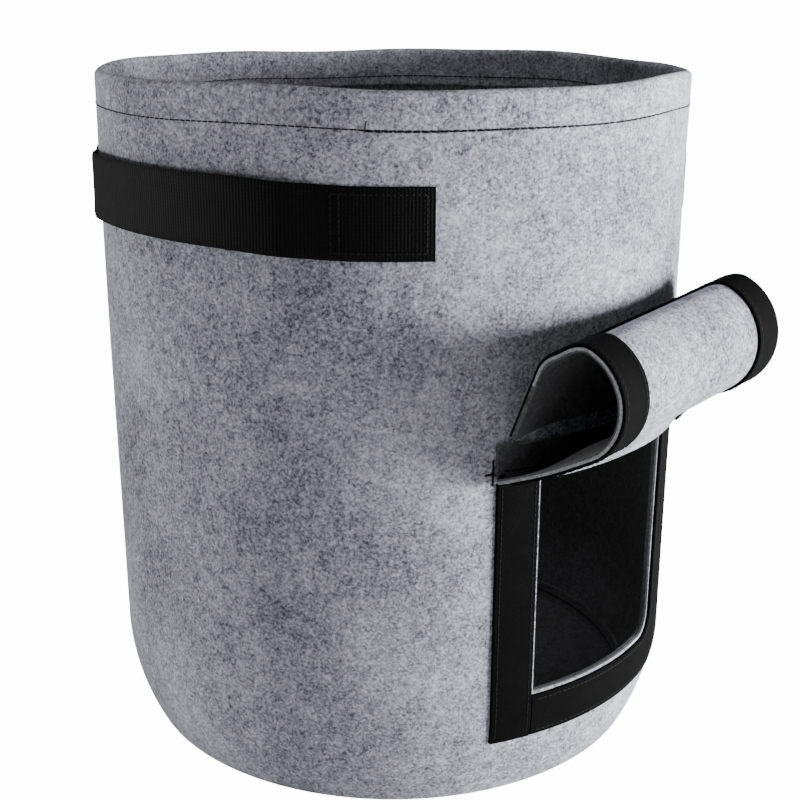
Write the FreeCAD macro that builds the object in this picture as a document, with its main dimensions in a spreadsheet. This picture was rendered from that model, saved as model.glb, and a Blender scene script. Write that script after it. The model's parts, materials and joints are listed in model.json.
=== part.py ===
"""Fabric grow bag: a felt bag with two webbing handles and a harvest window whose flap rolls up.

Frame: origin on the bag's axis at the underside of the base, +Z up. The window faces -Y, the handles sit at -X
and +X, and the wall's side seam is at +Y. Directions round the bag are angles about Z, counted from +X.
"""

import FreeCAD
import Part
import math
import os
import re

import Sketcher

# driving dimensions, in millimetres and degrees
DRIVING = {
    # felt shell
    "bagRadius": 150.0,
    "bagTall": 345.0,
    "feltThick": 3.0,
    "curveTall": 52.0,
    "curveInset": 13.0,
    "hemDeep": 22.0,
    "turnIn": 12.0,
    "allowanceInset": 0.5,
    "layerGap": 0.2,
    "seamThick": 5.4,
    "seamAngle": 4.6,
    "seamLow": 60.0,
    # sewing thread
    "threadThick": 0.4,
    "threadWide": 0.8,
    "threadAngle": 0.3,
    "lift": 0.05,
    "hemStitchUp": 328.8,
    "baseStitchUp": 7.0,
    # handles
    "webbingWide": 32.0,
    "webbingThick": 1.5,
    "handleHalf": 51.75,
    "sewnHalf": 33.5,
    "gripHalf": 33.1,
    "gripStandoff": 3.0,
    "sewnMidUp": 289.7,
    "gripMidUp": 292.0,
    "boxMargin": 3.5,
    "boxMarginAngle": 1.4,
    # window and its loop tape
    "windowHalf": 18.2,
    "windowLow": 59.5,
    "windowHigh": 169.0,
    "windowCorner": 12.0,
    "frameHalf": 27.0,
    "frameLow": 36.0,
    "frameHigh": 170.8,
    "frameCorner": 20.0,
    "tapeWide": 22.0,
    "tapeThick": 1.5,
    "tapeMargin": 2.5,
    # flap
    "hingeUp": 172.0,
    "hingeOut": 156.0,
    "headerLow": 171.2,
    "headerTall": 9.8,
    "hingeStitchUp": 177.2,
    "tackInset": 1.6,
    "tackAngle": 1.2,
    "flapThick": 2.5,
    "flapWide": 142.0,
    "rollYaw": 6.0,
    "rollShift": -18.4,
    "hookWide": 20.0,
    "panelGap": 1.15,
}

# The rolled flap, panel by panel from its hinge: length along the cloth, and turn from the panel before it.
# The first turn is counted from straight down, the way the closed flap hangs.
PANELS = [
    (24.0, 133.5),
    (22.0, 2.5),
    (17.3, 21.0),
    (17.3, 38.0),
    (17.3, 48.0),
    (17.3, 50.5),
    (17.3, 45.0),
    (17.3, 33.0),
]
for number, (long, turn) in enumerate(PANELS, start=1):
    DRIVING[f"panelLong{number}"] = long
    DRIVING[f"panelTurn{number}"] = turn

FRONT = -90
SIDES = {"left": 180, "right": 0}
BACK = 90
FULL_TURN = 360
STRAIGHT_DOWN = -90
X_AXIS, Z_AXIS = FreeCAD.Vector(1, 0, 0), FreeCAD.Vector(0, 0, 1)
HORIZONTAL, VERTICAL = -1, -2  # a sketch's own axes

doc = FreeCAD.newDocument("GrowBag")
sheet = doc.addObject("Spreadsheet::Sheet", "Sizes")
for row, (alias, number) in enumerate(DRIVING.items(), start=1):
    sheet.set(f"A{row}", alias)
    sheet.set(f"B{row}", str(number))
    sheet.setAlias(f"B{row}", alias)
doc.recompute()

nodes = []


def size(alias):
    """The sheet's present value of one driving dimension."""
    return float(sheet.get(alias))


def cells(expression):
    """An expression with each driving dimension named in it pointed at its cell."""
    return re.sub(r"[A-Za-z]\w*", lambda m: "Sizes." * (m.group() in DRIVING) + m.group(), str(expression))


def bind(obj, **properties):
    """Bind an object's properties to the sheet; __ in a property's name stands for a dot."""
    for name, expression in properties.items():
        obj.setExpression(name.replace("__", "."), cells(expression))
    return obj


def keep(obj, label):
    """Register a finished sub-part: its label names its node and its file."""
    obj.Label = label
    nodes.append(obj)
    return obj


# ---- ways of making a piece


def band(name, inner, outer, low, high, start=None, sweep=None):
    """A ring round the bag's axis, or a sector of one, between two radii and two heights."""
    rim = bind(doc.addObject("Part::Cylinder", name + "Rim"), Radius=outer)
    bore = bind(doc.addObject("Part::Cylinder", name + "Bore"), Radius=inner)
    for cylinder in (rim, bore):
        bind(cylinder, Height=f"({high}) - ({low})", Placement__Base__z=low)
    if sweep is not None:
        bind(rim, Angle=sweep, Placement__Rotation__Angle=start)
    ring = doc.addObject("Part::Cut", name + "Band")
    ring.Base, ring.Tool = rim, bore
    return ring


def join(name, pieces):
    """Fuse touching solids into one."""
    fused = doc.addObject("Part::MultiFuse", name + "Joined")
    fused.Shapes = pieces
    return fused


def group(name, pieces):
    """Put separate solids in one node."""
    together = doc.addObject("Part::Compound", name + "Group")
    together.Links = pieces
    return together


def cut(name, base, tool):
    left = doc.addObject("Part::Cut", name + "Cut")
    left.Base, left.Tool = base, tool
    return left


def round_corner(name, base, radius, direction, height):
    """Round the one radial edge of a band that lies at a direction and a height."""
    doc.recompute()
    angle, up = (base.evalExpression(cells(value)) for value in (direction, height))
    out = FreeCAD.Vector(math.cos(math.radians(angle)), math.sin(math.radians(angle)), 0)
    found = []
    for index, edge in enumerate(base.Shape.Edges, start=1):
        ends = [vertex.Point for vertex in edge.Vertexes]
        radial = all(end.distanceToLine(FreeCAD.Vector(0, 0, up), out) < size("lift") for end in ends)
        if radial and ends[0].dot(out) > 0:
            found.append((index, radius, radius))
    rounded = doc.addObject("Part::Fillet", name + "Rounded")
    rounded.Base = base
    rounded.Edges = found
    return rounded


def plane(body, role):
    return next(feature for feature in body.Origin.OriginFeatures if feature.Role == role)


def nearer_end(geometry, point):
    """1 or 2, whichever end of a sketch's line or arc is at a point."""
    return 1 if (geometry.StartPoint - point).Length < (geometry.EndPoint - point).Length else 2


def turned(name, corners, arcs=None):
    """A body turned about the bag's axis. Each corner of its section is a pair of expressions, out and up. arcs
    gives {side: (radius, bulge)}, where bulge is 1 to the right of the way round and -1 to the left."""
    arcs = arcs or {}
    body = doc.addObject("PartDesign::Body", name + "Body")
    sketch = body.newObject("Sketcher::SketchObject", name + "Section")
    sketch.AttachmentSupport = [(plane(body, "XZ_Plane"), "")]
    sketch.MapMode = "FlatFace"
    corners = [(cells(out), cells(up)) for out, up in corners]
    points = [FreeCAD.Vector(sketch.evalExpression(out), sketch.evalExpression(up), 0) for out, up in corners]
    for side, start in enumerate(points):
        end = points[(side + 1) % len(points)]
        if side in arcs:
            radius, bulge = sketch.evalExpression(cells(arcs[side][0])), arcs[side][1]
            chord = end - start
            right = FreeCAD.Vector(chord.y, -chord.x, 0).normalize()
            rise = radius - math.sqrt(max(radius**2 - chord.Length**2 / 4, 0))
            middle = (start + end) * 0.5 + right * rise * bulge
            first, last = (start, end) if bulge > 0 else (end, start)  # a sketch's arcs run anticlockwise
            sketch.addGeometry(Part.Arc(first, middle, last), False)
        else:
            sketch.addGeometry(Part.LineSegment(start, end), False)
    for side, start in enumerate(points):
        before = (side - 1) % len(points)
        here = nearer_end(sketch.Geometry[side], start)
        there = nearer_end(sketch.Geometry[before], start)
        sketch.addConstraint(Sketcher.Constraint("Coincident", side, here, before, there))
        for kind, axis, value, expression in (
            ("DistanceX", VERTICAL, start.x, corners[side][0]),
            ("DistanceY", HORIZONTAL, start.y, corners[side][1]),
        ):
            if abs(value) < size("lift"):
                sketch.addConstraint(Sketcher.Constraint("PointOnObject", side, here, axis))
                continue
            locked = sketch.addConstraint(Sketcher.Constraint(kind, -1, 1, side, here, value))
            sketch.setExpression(f"Constraints[{locked}]", expression)
    for side, (radius, _) in arcs.items():
        value = sketch.evalExpression(cells(radius))
        locked = sketch.addConstraint(Sketcher.Constraint("Radius", side, value))
        sketch.setExpression(f"Constraints[{locked}]", cells(radius))
    revolution = body.newObject("PartDesign::Revolution", name + "Turned")
    revolution.Profile = sketch
    revolution.ReferenceAxis = (sketch, ["V_Axis"])
    revolution.Angle = FULL_TURN
    body.Tip = revolution
    return body


# ---- felt shell

CURVE = "((curveTall^2 + curveInset^2) / (2 * curveInset))"
INSIDE = "bagRadius - feltThick"
HEM_INSIDE = "bagRadius - 2 * feltThick"
HEM_LOW = "bagTall - hemDeep"
ALLOWANCE = "(bagRadius - curveInset - allowanceInset)"
BASE_RADIUS = f"({ALLOWANCE} - feltThick - layerGap)"


def wall_panel():
    """The side wall: one felt strip, curved in at the foot, its lower edge turned up inside for the base seam,
    its top edge folded in for the hem, its two ends turned in at the side seam, and the window cut out."""
    meets = f"curveTall - sqrt(({CURVE} - feltThick)^2 - ({ALLOWANCE} - bagRadius + {CURVE})^2)"
    shell = turned(
        "wall",
        [
            ("bagRadius - curveInset", "0"),
            ("bagRadius", "curveTall"),
            ("bagRadius", "bagTall - feltThick"),
            (INSIDE, "bagTall"),
            (HEM_INSIDE, "bagTall - feltThick"),
            (HEM_INSIDE, HEM_LOW),
            (INSIDE, HEM_LOW),
            (INSIDE, "curveTall"),
            (ALLOWANCE, meets),
            (ALLOWANCE, "turnIn"),
            (f"{ALLOWANCE} - feltThick", "turnIn"),
            (f"{ALLOWANCE} - feltThick", "0"),
        ],
        {0: (CURVE, 1), 2: ("feltThick", 1), 3: ("feltThick", 1), 7: (f"{CURVE} - feltThick", -1)},
    )
    hole = band(
        "window", "bagRadius - 4 * feltThick", "bagRadius + feltThick", "windowLow", "windowHigh",
        f"{FRONT} - windowHalf", "2 * windowHalf",
    )
    hole = round_corner("window", hole, size("windowCorner"), f"{FRONT} + windowHalf", "windowLow")
    seam = band(
        "sideSeam", f"{INSIDE} - seamThick", f"{INSIDE} + feltThick / 2", "seamLow", HEM_LOW,
        f"{BACK} - seamAngle / 2", "seamAngle",
    )
    keep(cut("wall", join("wall", [shell, seam]), hole), "wall_panel")


def base_disc():
    """The round base: a felt disc whose edge is turned up inside the wall's."""
    inner = f"{BASE_RADIUS} - feltThick"
    corners = [
        ("0", "0"), (BASE_RADIUS, "0"), (BASE_RADIUS, "turnIn"),
        (inner, "turnIn"), (inner, "feltThick"), ("0", "feltThick"),
    ]
    keep(turned("base", corners), "base_disc")


def stitch_row(name, face, up, outward=1, start=None, sweep=None):
    """A row of thread along a cylindrical face, at a height; outward is -1 on an inside face."""
    near, far = f"({face}) + {outward} * lift", f"({face}) + {outward} * (lift + threadThick)"
    inner, outer = (near, far) if outward > 0 else (far, near)
    return band(name, inner, outer, f"({up}) - threadWide / 2", f"({up}) + threadWide / 2", start, sweep)


def stitch_post(name, face, low, high, direction, outward=1):
    """A row of thread up a cylindrical face, at a direction round the bag."""
    near, far = f"({face}) + {outward} * lift", f"({face}) + {outward} * (lift + threadThick)"
    inner, outer = (near, far) if outward > 0 else (far, near)
    return band(name, inner, outer, low, high, f"({direction}) - threadAngle / 2", "threadAngle")


def shell_threads():
    """The lockstitch rows of the shell: the hem's outer and inner threads, the side seam and the base seam."""
    keep(stitch_row("hemNeedle", "bagRadius", "hemStitchUp"), "hem_needle_thread")
    keep(stitch_row("hemBobbin", HEM_INSIDE, "hemStitchUp", -1), "hem_bobbin_thread")
    side = stitch_post("sideSeamThread", f"{INSIDE} - seamThick", "seamLow + lift", f"{HEM_LOW} - lift", BACK, -1)
    keep(side, "side_seam_thread")
    keep(stitch_row("baseSeam", f"{BASE_RADIUS} - feltThick", "baseStitchUp", -1), "base_seam_thread")


# ---- handles


def handle(side):
    """One webbing strap: two sewn ends, each with its box stitching, and the free span between them."""
    middle = SIDES[side]
    half = "webbingWide / 2"
    towards_front = 1 if side == "left" else -1
    for end, sign in (("front", towards_front), ("back", -towards_front)):
        name = f"{side}_{end}"
        inner_edge, outer_edge = f"({middle} + {sign} * sewnHalf)", f"({middle} + {sign} * handleHalf)"
        low, high = f"sewnMidUp - {half}", f"sewnMidUp + {half}"
        start = inner_edge if sign > 0 else outer_edge
        sewn = band(
            name, "bagRadius + lift", "bagRadius + webbingThick", low, high, start, "handleHalf - sewnHalf"
        )
        keep(sewn, f"handle_{name}_end")
        face = "bagRadius + webbingThick"
        row_start = f"{start} + boxMarginAngle"
        row_sweep = "handleHalf - sewnHalf - 2 * boxMarginAngle"
        rows = [
            stitch_row(f"{name}Row{i}", face, up, 1, row_start, row_sweep)
            for i, up in enumerate((f"{low} + boxMargin", f"{high} - boxMargin"))
        ]
        posts = [
            stitch_post(f"{name}Post{i}", face, f"{low} + boxMargin", f"{high} - boxMargin", direction)
            for i, direction in enumerate(
                (
                    f"{inner_edge} + {sign} * boxMarginAngle",
                    f"{inner_edge} + {sign} * 2 * boxMarginAngle",
                    f"{outer_edge} - {sign} * boxMarginAngle",
                )
            )
        ]
        keep(join(f"{name}Stitch", rows + posts), f"handle_{name}_stitching")
    grip = band(
        f"{side}Grip", "bagRadius + gripStandoff", "bagRadius + gripStandoff + webbingThick",
        f"gripMidUp - {half}", f"gripMidUp + {half}", f"{middle} - gripHalf", "2 * gripHalf",
    )
    keep(grip, f"handle_{side}_grip")


# ---- window frame

TAPE_FACE = "bagRadius + tapeThick"
TAPE_ANGLE = "(tapeWide / bagRadius * 180 / pi)"
MARGIN_ANGLE = "(tapeMargin / bagRadius * 180 / pi)"


def loop_tapes():
    """Loop tape sewn round the window: a straight strip down the left, and one along the bottom and up the
    right that is eased round the corner."""
    left_edge, right_edge = f"({FRONT} - frameHalf)", f"({FRONT} + frameHalf)"
    inner_left, inner_right = f"({left_edge} + {TAPE_ANGLE})", f"({right_edge} - {TAPE_ANGLE})"
    left = band(
        "tapeLeft", "bagRadius + lift", TAPE_FACE, "frameLow", "frameHigh", left_edge, f"{TAPE_ANGLE} - lift"
    )
    keep(left, "loop_tape_left")
    rows = [
        stitch_post(f"tapeLeftPost{i}", TAPE_FACE, "frameLow + tapeMargin", "frameHigh - tapeMargin", direction)
        for i, direction in enumerate((f"{left_edge} + {MARGIN_ANGLE}", f"{inner_left} - {MARGIN_ANGLE}"))
    ]
    keep(group("tapeLeftThread", rows), "loop_tape_left_thread")

    outline = band(
        "tapeLower", "bagRadius + lift", TAPE_FACE, "frameLow", "frameHigh", inner_left,
        f"{right_edge} - {inner_left}",
    )
    outline = round_corner("tapeLower", outline, size("frameCorner"), right_edge, "frameLow")
    inside = band(
        "tapeInside", "bagRadius - feltThick", "bagRadius + 2 * feltThick", "frameLow + tapeWide",
        "frameHigh + tapeWide", f"{inner_left} - {TAPE_ANGLE}", f"{inner_right} - {inner_left} + {TAPE_ANGLE}",
    )
    inside = round_corner("tapeInside", inside, size("windowCorner"), inner_right, "frameLow + tapeWide")
    keep(cut("tapeLower", outline, inside), "loop_tape_lower")
    corner = "frameCorner / bagRadius * 180 / pi"
    rows = [
        stitch_row(
            "tapeLowerRow0", TAPE_FACE, "frameLow + tapeMargin", 1, f"{inner_left} + {MARGIN_ANGLE}",
            f"{right_edge} - {inner_left} - {MARGIN_ANGLE} - {corner}",
        ),
        stitch_row(
            "tapeLowerRow1", TAPE_FACE, "frameLow + tapeWide - tapeMargin", 1, f"{inner_left} + {MARGIN_ANGLE}",
            f"{inner_right} - {inner_left} - {MARGIN_ANGLE}",
        ),
        stitch_post(
            "tapeLowerPost0", TAPE_FACE, "frameLow + frameCorner", "frameHigh - tapeMargin",
            f"{right_edge} - {MARGIN_ANGLE}",
        ),
        stitch_post(
            "tapeLowerPost1", TAPE_FACE, "frameLow + tapeWide", "frameHigh - tapeMargin",
            f"{inner_right} + {MARGIN_ANGLE}",
        ),
    ]
    keep(group("tapeLowerThread", rows), "loop_tape_lower_thread")


# ---- flap


def flap_header():
    """The flap's top edge, sewn flat on the wall above the window: its stitch row and two bar tacks."""
    face = "bagRadius + flapThick"
    edge = f"({FRONT} - frameHalf)"
    top = band(
        "header", "bagRadius + lift", face, "headerLow", "headerLow + headerTall", edge, "2 * frameHalf"
    )
    keep(top, "flap_header")
    row = stitch_row(
        "hingeRow", face, "hingeStitchUp", 1, f"{edge} + 2 * tackInset", "2 * frameHalf - 4 * tackInset"
    )
    keep(row, "flap_header_thread")
    for side, sign in (("left", -1), ("right", 1)):
        direction = f"({FRONT} + {sign} * (frameHalf - tackInset))"
        post = stitch_post(
            f"{side}TackPost", face, "headerLow + lift", "headerLow + headerTall - lift", direction
        )
        bar = stitch_row(f"{side}TackBar", face, "hingeStitchUp", 1, f"{direction} - tackAngle / 2", "tackAngle")
        keep(join(f"{side}Tack", [post, bar]), f"bar_tack_{side}")


def rolled_path():
    """Corners of the rolled flap's middle surface, each (out, up), and the direction of the panel after it."""
    corners, direction = [(size("hingeOut"), size("hingeUp"))], STRAIGHT_DOWN
    directions = []
    for number in range(1, len(PANELS) + 1):
        direction += size(f"panelTurn{number}")
        directions.append(direction)
        out, up = corners[-1]
        long = size(f"panelLong{number}")
        across, rise = math.cos(math.radians(direction)), math.sin(math.radians(direction))
        corners.append((out + long * across, up + long * rise))
    return corners, directions


def slab(name, corner, direction, wide, thick, long, sideways, offset):
    """A flat block on one panel of the flap. It starts sideways from the bag's middle, its nearer face offset
    from the panel's middle surface (minus is the face that shows on the roll), and runs along the panel."""
    block = bind(doc.addObject("Part::Box", name), Length=wide, Width=thick, Height=f"{long} - 2 * panelGap")
    out, up = corner
    block.Placement = (
        FreeCAD.Placement(FreeCAD.Vector(), FreeCAD.Rotation(Z_AXIS, size("rollYaw")))
        * FreeCAD.Placement(
            FreeCAD.Vector(sideways, -out, up), FreeCAD.Rotation(X_AXIS, -STRAIGHT_DOWN - direction)
        )
        * FreeCAD.Placement(FreeCAD.Vector(0, offset, size("panelGap")), FreeCAD.Rotation())
    )
    return block


def flap():
    """The flap's panels, each with the hook tape on the face that shows on the roll, and the tape's stitching.
    The last panel carries the tape across its whole width, along the flap's free edge."""
    corners, directions = rolled_path()
    felt, tape, thread = size("flapThick"), size("tapeThick"), size("threadThick")
    edge = size("rollShift") - size("flapWide") / 2
    far_tape = edge + size("flapWide") - size("hookWide")
    tape_offset = -felt / 2 - size("lift") - tape
    thread_offset = tape_offset - size("lift") - thread
    for number, (corner, direction) in enumerate(zip(corners, directions), start=1):
        long = f"panelLong{number}"
        panel = slab(f"panel{number}", corner, direction, "flapWide", "flapThick", long, edge, -felt / 2)
        keep(panel, f"flap_panel_{number}")
        last = number == len(PANELS)
        starts, wide = ([edge], "flapWide") if last else ([edge, far_tape], "hookWide")
        tapes = [
            slab(f"hook{number}{i}", corner, direction, wide, "tapeThick", long, start, tape_offset)
            for i, start in enumerate(starts)
        ]
        keep(tapes[0] if last else group(f"hook{number}", tapes), f"hook_tape_{number}")
        inset = size("tapeMargin")
        rows = [
            slab(
                f"hookRow{number}{i}{j}", corner, direction, "threadWide", "threadThick", long, start + across,
                thread_offset,
            )
            for i, start in enumerate((edge, far_tape))
            for j, across in enumerate((inset, size("hookWide") - inset - size("threadWide")))
        ]
        keep(group(f"hookRow{number}", rows), f"hook_tape_thread_{number}")


# ---- build, check and export

wall_panel()
base_disc()
shell_threads()
for side in SIDES:
    handle(side)
loop_tapes()
flap_header()
flap()
doc.recompute()

for obj in doc.Objects:
    if "Invalid" in obj.State or "Error" in obj.State:
        raise RuntimeError(f"{obj.Label} failed: {obj.State}")
for node in nodes:
    if node.Shape.isNull() or not node.Shape.isValid() or not node.Shape.Solids:
        raise RuntimeError(f"{node.Label} has no valid solid")

os.makedirs("parts", exist_ok=True)
for node in nodes:
    node.Shape.exportStep(f"parts/{node.Label}.step")
    box = node.Shape.BoundBox
    print(f"{node.Label}: {len(node.Shape.Solids)} solid(s), {node.Shape.Volume / 1000:.2f} cm3, "
          f"z {box.ZMin:.1f} to {box.ZMax:.1f}")
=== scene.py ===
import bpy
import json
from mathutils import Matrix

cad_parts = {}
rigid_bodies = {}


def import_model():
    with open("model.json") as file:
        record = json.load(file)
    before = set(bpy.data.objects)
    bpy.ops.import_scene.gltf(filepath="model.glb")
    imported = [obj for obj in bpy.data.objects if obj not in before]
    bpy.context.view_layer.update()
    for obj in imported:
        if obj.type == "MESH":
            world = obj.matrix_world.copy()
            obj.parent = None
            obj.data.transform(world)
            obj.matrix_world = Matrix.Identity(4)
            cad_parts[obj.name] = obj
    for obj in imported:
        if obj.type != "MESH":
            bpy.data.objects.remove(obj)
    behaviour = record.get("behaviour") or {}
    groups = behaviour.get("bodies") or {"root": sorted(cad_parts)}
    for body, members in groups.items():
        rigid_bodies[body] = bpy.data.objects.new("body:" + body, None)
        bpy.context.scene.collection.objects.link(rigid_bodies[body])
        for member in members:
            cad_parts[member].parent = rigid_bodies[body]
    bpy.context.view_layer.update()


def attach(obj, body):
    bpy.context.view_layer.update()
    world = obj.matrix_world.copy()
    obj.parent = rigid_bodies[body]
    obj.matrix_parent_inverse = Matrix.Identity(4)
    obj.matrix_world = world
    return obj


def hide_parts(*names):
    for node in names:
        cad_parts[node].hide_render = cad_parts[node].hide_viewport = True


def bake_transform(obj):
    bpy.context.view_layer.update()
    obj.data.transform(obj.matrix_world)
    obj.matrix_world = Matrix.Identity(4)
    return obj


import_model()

import json
import math
import bpy
import numpy as np
from mathutils import Matrix

mm = 0.001
tau = 2 * math.pi
rad = math.radians


def smooth(t):
    t = np.clip(t, 0.0, 1.0)
    return t * t * (3 - 2 * t)


def linear(hexColour):
    # sRGB hex to the linear colour that shaders work in
    channels = [int(hexColour[i:i + 2], 16) / 255 for i in (1, 3, 5)]
    return [c / 12.92 if c <= 0.04045 else ((c + 0.055) / 1.055) ** 2.4 for c in channels] + [1.0]


def makeMesh(name, vertices, faces, materials, faceMaterial=None, uv=None, sharp=38):
    # a mesh object from whole arrays; faces is a list of equal-width index arrays, uv one pair per vertex
    mesh = bpy.data.meshes.new(name)
    corners = [face for part in faces for face in np.asarray(part).tolist()]
    mesh.from_pydata(np.asarray(vertices).tolist(), [], corners)
    for material in materials:
        mesh.materials.append(material)
    if faceMaterial is not None:
        mesh.polygons.foreach_set("material_index", np.asarray(faceMaterial, dtype=np.int32))
    if uv is not None:
        corner = np.empty(len(mesh.loops), dtype=np.int32)
        mesh.loops.foreach_get("vertex_index", corner)
        layer = mesh.uv_layers.new(name="UVMap")
        layer.data.foreach_set("uv", np.asarray(uv, dtype=np.float32)[corner].ravel())
    mesh.polygons.foreach_set("use_smooth", np.ones(len(mesh.polygons), dtype=bool))
    mesh.set_sharp_from_angle(angle=rad(sharp))
    mesh.update()
    obj = bpy.data.objects.new(name, mesh)
    bpy.context.scene.collection.objects.link(obj)
    return obj


def gridFaces(rows, columns, offset=0, closed=False):
    # quads of a grid of rows x columns vertices, the last column joined to the first if closed
    r = np.arange(rows - 1)[:, None]
    c = np.arange(columns if closed else columns - 1)[None, :]
    n = (c + 1) % columns
    a, b = r * columns + c, r * columns + n
    return np.stack([a, b, b + columns, a + columns], axis=-1).reshape(-1, 4) + offset


def slabMesh(name, top, under, materials, sides=(0, 0, 0), uv=None, sharp=38):
    # a closed slab between two grids of the same shape: top faces out, under faces in, a rim joins their edges
    return slabsMesh(name, [(top, under, sides, uv)], materials, sharp)


def slabsMesh(name, slabs, materials, sharp=38):
    # several slabs in one mesh; each is (top, under, material slots of top, underside and rim, uv or None)
    vertices, quads, slots, flat, total = [], [], [], [], 0
    for top, under, sides, uv in slabs:
        rows, columns = top.shape[:2]
        count = rows * columns
        face = gridFaces(rows, columns)
        loop = np.concatenate([
            np.arange(columns - 1), np.arange(rows - 1) * columns + columns - 1,
            np.arange(count - 1, count - columns, -1), np.arange(rows - 1, 0, -1) * columns,
        ])
        after = np.roll(loop, -1)
        ring = 2 * count + np.arange(len(loop))
        ringAfter = np.roll(ring, -1)
        # the rim is two strips: the outer takes the rim's material, the inner the underside's, which on the flap
        # is the dark felt of painted shade
        paleRim = np.stack([loop, ring, ringAfter, after], axis=-1)
        darkRim = np.stack([ring, loop + count, after + count, ringAfter], axis=-1)
        faces = [face, face[:, ::-1] + count, paleRim, darkRim]
        a, b, c = top[:-1, :-1].reshape(-1, 3), top[:-1, 1:].reshape(-1, 3), top[1:, :-1].reshape(-1, 3)
        up = top[:-1, :-1].reshape(-1, 3) - under[:-1, :-1].reshape(-1, 3)
        if np.einsum("ij,ij->i", np.cross(b - a, c - a), up).sum() < 0:
            faces = [part[:, ::-1] for part in faces]
        quads += [part + total for part in faces]
        slots += [np.full(len(part), i) for part, i in zip(faces, (*sides, sides[1]))]
        high, low = top.reshape(-1, 3), under.reshape(-1, 3)
        vertices += [high, low, high[loop] * 0.4 + low[loop] * 0.6]
        pairs = np.zeros((count, 2)) if uv is None else uv.reshape(-1, 2)
        flat += [pairs, pairs, pairs[loop]]
        total += 2 * count + len(loop)
    return makeMesh(name, np.concatenate(vertices), quads, materials,
                    np.concatenate(slots), np.concatenate(flat), sharp)


def facedOut(obj):
    # turns a closed mesh the right way out: its signed volume has to be positive
    mesh = obj.data
    mesh.calc_loop_triangles()
    tri = np.empty(len(mesh.loop_triangles) * 3, dtype=np.int32)
    mesh.loop_triangles.foreach_get("vertices", tri)
    co = np.empty(len(mesh.vertices) * 3)
    mesh.vertices.foreach_get("co", co)
    p = co.reshape(-1, 3)[tri.reshape(-1, 3)]
    if np.einsum("ij,ij->i", p[:, 0], np.cross(p[:, 1], p[:, 2])).sum() < 0:
        mesh.flip_normals()
    return obj


def newMaterial(name):
    material = bpy.data.materials.new(name)
    material.use_nodes = True
    material.node_tree.nodes.clear()
    return material


def addNode(material, kind, settings=None, inputs=None):
    # a node with its settings, its input values, and links for inputs that are sockets
    node = material.node_tree.nodes.new(kind)
    for key, value in (settings or {}).items():
        setattr(node, key, value)
    for key, value in (inputs or {}).items():
        if isinstance(value, bpy.types.NodeSocket):
            material.node_tree.links.new(value, node.inputs[key])
        else:
            node.inputs[key].default_value = value
    return node


def ramp(material, factor, stops):
    # a colour ramp through (place, hex) stops
    node = addNode(material, "ShaderNodeValToRGB", None, {"Fac": factor})
    elements = node.color_ramp.elements
    while len(elements) < len(stops):
        elements.new(0.5)
    for element, (place, colour) in zip(elements, stops):
        element.position = place
        element.color = linear(colour)
    return node.outputs["Color"]


def finishSurface(material, colour, roughness, height, bump, sheen=0.0, specular=0.3):
    # the shader: bump is (strength, distance in metres)
    normal = addNode(material, "ShaderNodeBump", None, {
        "Strength": bump[0], "Distance": bump[1], "Height": height})
    shader = addNode(material, "ShaderNodeBsdfPrincipled", None, {
        "Base Color": colour, "Roughness": roughness, "Specular IOR Level": specular,
        "Sheen Weight": sheen, "Sheen Roughness": 0.5, "Normal": normal.outputs["Normal"],
    })
    addNode(material, "ShaderNodeOutputMaterial", None, {"Surface": shader.outputs["BSDF"]})
    return material


feltLook = {
    "pale": "#CDCFDA", "middle": "#9395A0", "dark": "#42444D",
    "fibre": 0.75,       # mm, width of the smallest tuft that shows
    "cloud": 5.5,        # mm, patches where one colour of fibre gathers
    "drift": 55.0,       # mm, slow change over the sheet
}


def needledFelt(name, look):
    # Needle-punched polyester felt: staple fibres of several greys tangled by barbed needles.
    # It gives the eye a matt, mottled, slightly cloudy grey with short darker hairs and no weave.
    m = newMaterial(name)
    place = addNode(m, "ShaderNodeTexCoord").outputs["Object"]
    wander = addNode(m, "ShaderNodeTexNoise", None, {"Vector": place, "Scale": 1 / (4 * mm), "Detail": 2.0})
    bent = addNode(m, "ShaderNodeVectorMath", {"operation": "SCALE"}, {
        0: wander.outputs["Color"], "Scale": 2.2 * mm})
    moved = addNode(m, "ShaderNodeVectorMath", {"operation": "ADD"}, {0: place, 1: bent.outputs[0]}).outputs[0]
    tuft = addNode(m, "ShaderNodeTexNoise", None, {
        "Vector": moved, "Scale": 1 / (look["fibre"] * 2 * mm), "Detail": 5.0, "Roughness": 0.72})
    cloud = addNode(m, "ShaderNodeTexNoise", None, {
        "Vector": moved, "Scale": 1 / (look["cloud"] * mm), "Detail": 4.0, "Roughness": 0.62})
    drift = addNode(m, "ShaderNodeTexNoise", None, {
        "Vector": place, "Scale": 1 / (look["drift"] * mm), "Detail": 2.0})
    hair = addNode(m, "ShaderNodeTexVoronoi", {"feature": "DISTANCE_TO_EDGE"}, {
        "Vector": moved, "Scale": 1 / (2.6 * mm)})
    hairDark = addNode(m, "ShaderNodeMapRange", None, {
        "Value": hair.outputs["Distance"], "From Min": 0.0, "From Max": 0.09, "To Min": -0.07, "To Max": 0.0})
    add = {"operation": "MULTIPLY_ADD"}
    clouded = addNode(m, "ShaderNodeMath", add, {0: cloud.outputs["Fac"], 1: 0.36, 2: hairDark.outputs[0]})
    tufted = addNode(m, "ShaderNodeMath", add, {0: tuft.outputs["Fac"], 1: 0.95, 2: clouded.outputs[0]})
    shade = addNode(m, "ShaderNodeMath", add, {0: drift.outputs["Fac"], 1: 0.3, 2: tufted.outputs[0]})
    colour = ramp(m, shade.outputs[0], [(0.60, look["dark"]), (0.79, look["middle"]), (0.98, look["pale"])])
    height = addNode(m, "ShaderNodeMath", add, {0: cloud.outputs["Fac"], 1: 0.6, 2: tuft.outputs["Fac"]})
    return finishSurface(m, colour, 0.94, height.outputs[0], (0.35, 0.6 * mm), sheen=0.12, specular=0.12)


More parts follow.
